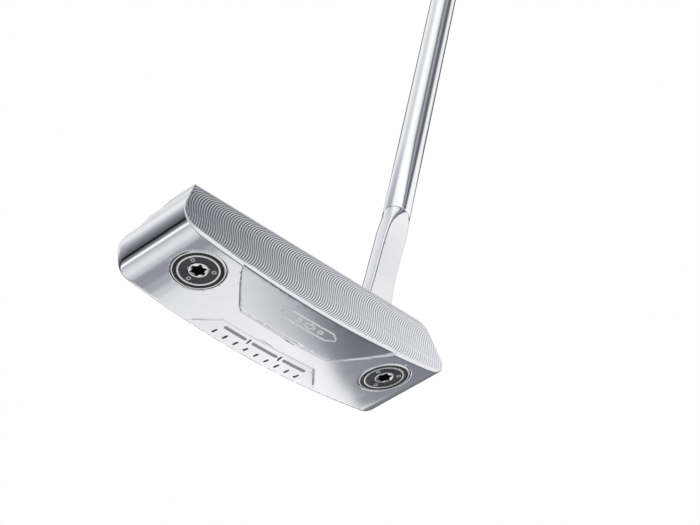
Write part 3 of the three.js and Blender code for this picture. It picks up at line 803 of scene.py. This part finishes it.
GEND = CLUB - CAP - 0.04
step = 0.75
ts = [GS + 0.25, GS + 0.6, GS + 1.2] + list(np.arange(GS + 2.0, GEND - 1.0, step)) + [GEND - 0.8, GEND - 0.3, GEND]
rings = [grip_ring(GS, 1.0, detail=False), grip_ring(GS, 0.6, detail=False)]
rings += [grip_ring(t, 0.45 * max(0, 1 - (t - GS) / 1.2) ** 2) for t in ts]
rings += [grip_ring(GEND, 0.4, detail=False)]
bore = BUTT + 0.55
nb = 112
thb = np.linspace(0, 2 * np.pi, nb, endpoint=False)
circ = lambda r, z: np.stack([r * np.cos(thb), r * np.sin(thb), np.full(nb, z)], -1)
rings += [circ(bore, GEND), circ(bore, (GS + GEND) / 2), circ(bore, GS + 0.4), circ(bore + 0.3, GS)]
grip = loft("grip_rubber_sleeve", rings, SHAFT, loop=True)
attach(grip, ROOT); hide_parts("grip")

cr = lambda t, inset: grip_ring(CLUB - CAP, inset, n=nb, detail=False) * np.array([1, 1, 0]) + np.array([0, 0, t])
mix = lambda a, b, k: a * (1 - k) + b * k
top = CLUB
cap_rings = [circ(1.1, SEND - 8), circ(BUTT - WALL - 0.9, SEND - 8), circ(BUTT - WALL - 0.35, SEND - 7.4), circ(BUTT - WALL - 0.35, CLUB - CAP), cr(CLUB - CAP, 0.35), cr(CLUB - CAP + 0.25, 0.1), cr(CLUB - CAP + 0.8, 0.0), cr(CLUB - 2.2, 0.1), cr(CLUB - 1.3, 0.45), cr(CLUB - 0.5, 1.1), cr(CLUB - 0.12, 1.9), cr(CLUB, 2.9)]
for k, dz in ((0.35, 0.0), (0.40, -0.10), (0.43, -0.35), (0.47, -0.35), (0.50, -0.10), (0.55, 0.0), (0.9, 0.0)):
    cap_rings.append(mix(cr(CLUB, 2.9), circ(1.1, CLUB), k) + np.array([0, 0, dz]))
cap_rings += [circ(1.3, CLUB), circ(1.12, CLUB - 0.15), circ(1.1, CLUB - 0.4)]
cap = loft("grip_end_cap", cap_rings, SHAFT, loop=True)
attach(cap, ROOT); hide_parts("grip_cap")

# ------------------------------------------------------------------------------------------
# materials
# ------------------------------------------------------------------------------------------
def material(name, color, metallic, roughness, noise=None, rough_var=0.0, bump=None, color_var=0.0, specks=None, coat=None, aniso=None):
    m = bpy.data.materials.new(name)
    m.use_nodes = True
    nt = m.node_tree
    b = nt.nodes["Principled BSDF"]
    b.inputs["Metallic"].default_value = metallic
    b.inputs["Roughness"].default_value = roughness
    b.inputs["Base Color"].default_value = (*color, 1)
    tc = nt.nodes.new("ShaderNodeTexCoord")
    if noise:
        nz = nt.nodes.new("ShaderNodeTexNoise")
        nz.inputs["Scale"].default_value = noise
        nz.inputs["Detail"].default_value = 4
        nt.links.new(tc.outputs["Object"], nz.inputs["Vector"])
        if rough_var:
            mr = nt.nodes.new("ShaderNodeMapRange")
            mr.inputs["From Min"].default_value, mr.inputs["From Max"].default_value = 0.3, 0.7
            mr.inputs["To Min"].default_value = max(0.01, roughness - rough_var)
            mr.inputs["To Max"].default_value = roughness + rough_var
            nt.links.new(nz.outputs["Fac"], mr.inputs["Value"])
            nt.links.new(mr.outputs["Result"], b.inputs["Roughness"])
        if color_var:
            cr_ = nt.nodes.new("ShaderNodeValToRGB")
            cr_.color_ramp.elements[0].position, cr_.color_ramp.elements[1].position = 0.35, 0.65
            cr_.color_ramp.elements[0].color = (*[max(0, q - color_var) for q in color], 1)
            cr_.color_ramp.elements[1].color = (*[min(1, q + color_var) for q in color], 1)
            nt.links.new(nz.outputs["Fac"], cr_.inputs["Fac"])
            nt.links.new(cr_.outputs["Color"], b.inputs["Base Color"])
    if bump:
        scale, strength, dist = bump
        nb_ = nt.nodes.new("ShaderNodeTexNoise")
        nb_.inputs["Scale"].default_value = scale
        nb_.inputs["Detail"].default_value = 2
        nt.links.new(tc.outputs["Object"], nb_.inputs["Vector"])
        bp = nt.nodes.new("ShaderNodeBump")
        bp.inputs["Strength"].default_value = strength
        bp.inputs["Distance"].default_value = dist
        nt.links.new(nb_.outputs["Fac"], bp.inputs["Height"])
        nt.links.new(bp.outputs["Normal"], b.inputs["Normal"])
    if coat is not None:
        b.inputs["Coat Weight"].default_value = coat
        b.inputs["Coat Roughness"].default_value = 0.08
    return m


steel = material("satin_steel", (0.84, 0.84, 0.87), 1.0, 0.05, noise=260, rough_var=0.008, bump=(5200, 0.02, 0.00001), color_var=0.008)
milled = material("milled_steel", (0.84, 0.84, 0.87), 1.0, 0.11, noise=400, rough_var=0.02, color_var=0.01)
grey = material("etched_grey", (0.50, 0.51, 0.55), 0.0, 0.5, noise=900, rough_var=0.05, color_var=0.015)
# near-black material used as painted shade inside the steel driver socket, not a colour of its own
socket_shade_paint = material("socket_painted_shade", (0.012, 0.012, 0.013), 0.2, 0.4, noise=900, rough_var=0.05, color_var=0.003)
chrome = material("shaft_chrome", (0.90, 0.91, 0.92), 1.0, 0.045, noise=120, rough_var=0.012)
bright = material("weight_bright", (0.86, 0.85, 0.83), 1.0, 0.16, noise=900, rough_var=0.04, color_var=0.02)
black = material("weight_black", (0.016, 0.016, 0.018), 0.3, 0.30, noise=700, rough_var=0.05, color_var=0.004)
charcoal = material("weight_charcoal", (0.075, 0.075, 0.082), 0.55, 0.38, noise=1200, rough_var=0.06, color_var=0.012, bump=(6000, 0.15, 0.00002))
markm = material("index_enamel", (0.80, 0.80, 0.80), 0.0, 0.4, noise=900, rough_var=0.05, color_var=0.02)
enamel = material("dark_enamel", (0.035, 0.035, 0.045), 0.0, 0.28, noise=1500, rough_var=0.06, color_var=0.008)
rubber = material("grip_rubber", (0.018, 0.018, 0.019), 0.0, 0.62, noise=700, rough_var=0.08, color_var=0.005, bump=(3500, 0.5, 0.00006))
plastic = material("cap_plastic", (0.022, 0.022, 0.024), 0.0, 0.42, noise=900, rough_var=0.06, color_var=0.004, bump=(5000, 0.3, 0.00004))
nylon = material("washer_nylon", (0.02, 0.02, 0.02), 0.0, 0.55, noise=900, rough_var=0.05, color_var=0.004)
epoxy = material("epoxy", (0.42, 0.38, 0.28), 0.0, 0.25, noise=500, rough_var=0.05, color_var=0.03)
tape = material("grip_tape", (0.60, 0.52, 0.34), 0.0, 0.8, noise=1200, rough_var=0.05, color_var=0.05, bump=(2500, 0.6, 0.00008))


def give(ob, mat):
    ob.data.materials.clear()
    ob.data.materials.append(mat)


for ob, mat in ((head_ob, steel), (mill_ob, milled), (shaft, chrome), (tang, steel), (grip, rubber), (cap, plastic)):
    give(ob, mat)
for ob in enamels:
    give(ob, enamel)
for ob in greys:
    give(ob, grey)
for ob in lines:
    give(ob, steel)
for screw, out_in, in_in, marks, washer, socket_from in weights.values():
    for ob, mat in ((screw, bright), (out_in, black), (in_in, charcoal), (marks, markm), (washer, nylon)):
        give(ob, mat)
    # the driver socket of the steel screw is given a near-black material: painted shade for the deep recess
    screw.data.materials.append(socket_shade_paint)
    nq = sum(1 for p_ in screw.data.polygons if len(p_.vertices) == 4)
    nn = len(screw.data.polygons) - nq
    nn = nn // 2
    for i_, p_ in enumerate(screw.data.polygons):
        if (len(p_.vertices) == 4 and i_ >= socket_from) or (len(p_.vertices) == 3 and i_ >= nq + nn):
            p_.material_index = 1
for node, mat in (("putter_head", steel), ("shaft", chrome), ("shaft_bond", epoxy), ("grip_tape", tape), ("grip", rubber), ("grip_cap", plastic), ("sight_line_fill", enamel)):
    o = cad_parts[node]
    for sl in o.material_slots:
        sl.material = mat
    if not o.material_slots:
        o.data.materials.append(mat)

# ------------------------------------------------------------------------------------------
# floor, studio surround and lights
# ------------------------------------------------------------------------------------------
floor = new_mesh("floor", [(-3, -3, -0.62), (3, -3, -0.62), (3, 3, -0.62), (-3, 3, -0.62)], [(0, 1, 2, 3)])
fm = material("pale_floor", (0.86, 0.86, 0.87), 0.0, 0.7, noise=3, color_var=0.01)
floor.data.materials.append(fm)
floor.visible_glossy = False

world = bpy.data.worlds.new("studio")
bpy.context.scene.world = world
world.use_nodes = True
nt = world.node_tree
nt.nodes.clear()
out = nt.nodes.new("ShaderNodeOutputWorld")
tc = nt.nodes.new("ShaderNodeTexCoord")
sep = nt.nodes.new("ShaderNodeSeparateXYZ")
nt.links.new(tc.outputs["Generated"], sep.inputs["Vector"])


def wmath(op, a, b=None, c=None, clamp=False):
    n_ = nt.nodes.new("ShaderNodeMath")
    n_.operation = op
    n_.use_clamp = clamp
    for i, v in enumerate((a, b, c)):
        if v is None:
            continue
        if isinstance(v, (int, float)):
            n_.inputs[i].default_value = v
        else:
            nt.links.new(v, n_.inputs[i])
    return n_.outputs[0]


psi = wmath("MULTIPLY", wmath("ARCTAN2", sep.outputs["Z"], sep.outputs["X"]), 180 / math.pi)
psi = wmath("ADD", psi, wmath("MULTIPLY", wmath("LESS_THAN", psi, 60.0), 360.0))      # 60..420 degrees, from +X towards +Z


def linear(v):
    return v / 12.92 if v <= 0.04045 else ((v + 0.055) / 1.055) ** 2.4


GAIN = 1.35


def ramp(stops, value, lo, hi):
    """Light seen at each value, given as display brightness, as a ramp between lo and hi."""
    n_ = nt.nodes.new("ShaderNodeValToRGB")
    cr_ = n_.color_ramp
    cr_.interpolation = "LINEAR"
    while len(cr_.elements) < len(stops):
        cr_.elements.new(0.5)
    for e, (a, v) in zip(cr_.elements, stops):
        e.position = (a - lo) / (hi - lo)
    for e, (a, v) in zip(cr_.elements, stops):
        q = linear(v) / 0.84 / GAIN
        e.color = (q, q, q, 1)
    mr_ = nt.nodes.new("ShaderNodeMapRange")
    mr_.inputs["From Min"].default_value, mr_.inputs["From Max"].default_value = lo, hi
    nt.links.new(value, mr_.inputs["Value"])
    nt.links.new(mr_.outputs["Result"], n_.inputs["Fac"])
    return n_.outputs["Color"]


def wrange(value, a, b, lo=0.0, hi=1.0):
    n_ = nt.nodes.new("ShaderNodeMapRange")
    n_.interpolation_type = "SMOOTHSTEP"
    for k_, v_ in (("From Min", a), ("From Max", b), ("To Min", lo), ("To Max", hi)):
        n_.inputs[k_].default_value = v_
    nt.links.new(value, n_.inputs["Value"])
    return n_.outputs["Result"]


def wmix(fac, a, b):
    return wmath("ADD", wmath("MULTIPLY", a, wmath("SUBTRACT", 1.0, fac)), wmath("MULTIPLY", b, fac))


# light from the back and below (seen in sole, toe side and shaft), by angle
BACK_A = [(60, .30), (66, .40), (72, .58), (77, .80), (82, .90), (92, .90), (97, .87), (101, .83), (106, .78), (111, .73), (117, .68), (124, .63), (135, .58), (150, .52), (162, .46), (175, .41), (188, .37), (194, .28), (200, .18), (204, .09), (209, .09), (212, .28), (216, .39), (221, .47), (225, .57), (228, .74), (231, .97), (235, 1.03), (238, .84), (240, .74)]
BACK_B = [(240, .74), (242, .71), (246, .75), (251, .80), (256, .83), (263, .86), (274, .87), (279, .85), (284, .80), (288, .77), (291, .72), (293.5, .62), (296, .55), (297.5, .66), (298.8, .80), (300.5, .88), (305, .90), (312, .92), (320, .95), (330, .96), (339, .95), (345, .53), (352, .48), (371, .44), (385, .26), (400, .18), (408, .18), (414, .22), (420, .30)]
# light from the front (seen in face and neck), by angle
FRONT_A = [(60, .38), (65, .46), (72, .62), (77, .60), (82, .42), (87, .55), (91, .80), (96, .90), (104, .97), (116, .97), (135, .88), (165, .80), (195, .77), (240, .74)]
FRONT_B = [(240, .76), (270, .84), (295, .90), (340, .92), (372, .92), (385, .93), (398, .92), (401, .91), (403, .87), (404.5, .81), (406, .73), (408, .60), (410, .46), (412, .40), (416, .35), (420, .38)]
upper = wmath("LESS_THAN", psi, 240.0)
back = wmix(upper, ramp(BACK_B, psi, 240, 420), ramp(BACK_A, psi, 60, 240))
front = wmix(upper, ramp(FRONT_B, psi, 240, 420), ramp(FRONT_A, psi, 60, 240))
# the light below ends along a slanting edge towards the heel and the front
rz_ = wmath("MAXIMUM", wmath("ABSOLUTE", sep.outputs["Z"]), 0.001)
u_ = wmath("DIVIDE", sep.outputs["X"], rz_)
s_ = wmath("DIVIDE", wmath("SUBTRACT", sep.outputs["Y"], wmath("MULTIPLY", sep.outputs["X"], 0.525)), rz_)
s_ = wmath("SUBTRACT", s_, wrange(u_, 1.92, 2.36, 0.0, 0.010))
NEAR_S = [(0.0, .38), (.14, .42), (.16, .44), (.20, .54), (.225, .68), (.25, .75), (.275, .80), (.31, .85), (.34, .90), (.38, .99)]
FAR_S = [(0.0, .44), (.14, .46), (.24, .51), (.30, .55), (.317, .56), (.3235, .75), (.330, .92), (.340, .95), (.38, 1.0)]
slant = wmix(wrange(u_, 1.28, 1.46), ramp(NEAR_S, s_, 0.0, 0.4), ramp(FAR_S, s_, 0.0, 0.4))
slant = wmath("ADD", slant, wmath("MULTIPLY", wmath("GREATER_THAN", s_, 0.378), 2.0))
back_low = wmath("MINIMUM", back, slant)
back = wmix(wrange(sep.outputs["Z"], 0.0, -0.05), back, back_low)
back = wmath("MULTIPLY", back, wrange(sep.outputs["Y"], 0.72, 0.95, 1.0, 0.45))
light = wmix(wrange(sep.outputs["Y"], -0.22, 0.18), front, back)
light = wmath("MULTIPLY", light, GAIN)
# darker parts lean slightly to blue
dark_ = wmath("SUBTRACT", 1.0, wmath("MINIMUM", light, 1.0))
comb = nt.nodes.new("ShaderNodeCombineXYZ")
nt.links.new(wmath("MULTIPLY", light, wmath("MULTIPLY_ADD", dark_, -0.07, 1.0)), comb.inputs[0])
nt.links.new(light, comb.inputs[1])
nt.links.new(wmath("MULTIPLY", light, wmath("MULTIPLY_ADD", dark_, 0.13, 1.0)), comb.inputs[2])
bg_env = nt.nodes.new("ShaderNodeBackground")
nt.links.new(comb.outputs[0], bg_env.inputs["Color"])
bg_env.inputs["Strength"].default_value = 1.0
bg_cam = nt.nodes.new("ShaderNodeBackground")
bg_cam.inputs["Color"].default_value = (1, 1, 1, 1)
bg_cam.inputs["Strength"].default_value = 1.0
lp = nt.nodes.new("ShaderNodeLightPath")
ms = nt.nodes.new("ShaderNodeMixShader")
nt.links.new(lp.outputs["Is Camera Ray"], ms.inputs["Fac"])
nt.links.new(bg_env.outputs["Background"], ms.inputs[1])
nt.links.new(bg_cam.outputs["Background"], ms.inputs[2])
nt.links.new(ms.outputs["Shader"], out.inputs["Surface"])

bpy.context.scene.view_settings.view_transform = "Standard"
bpy.context.scene.view_settings.look = "None"
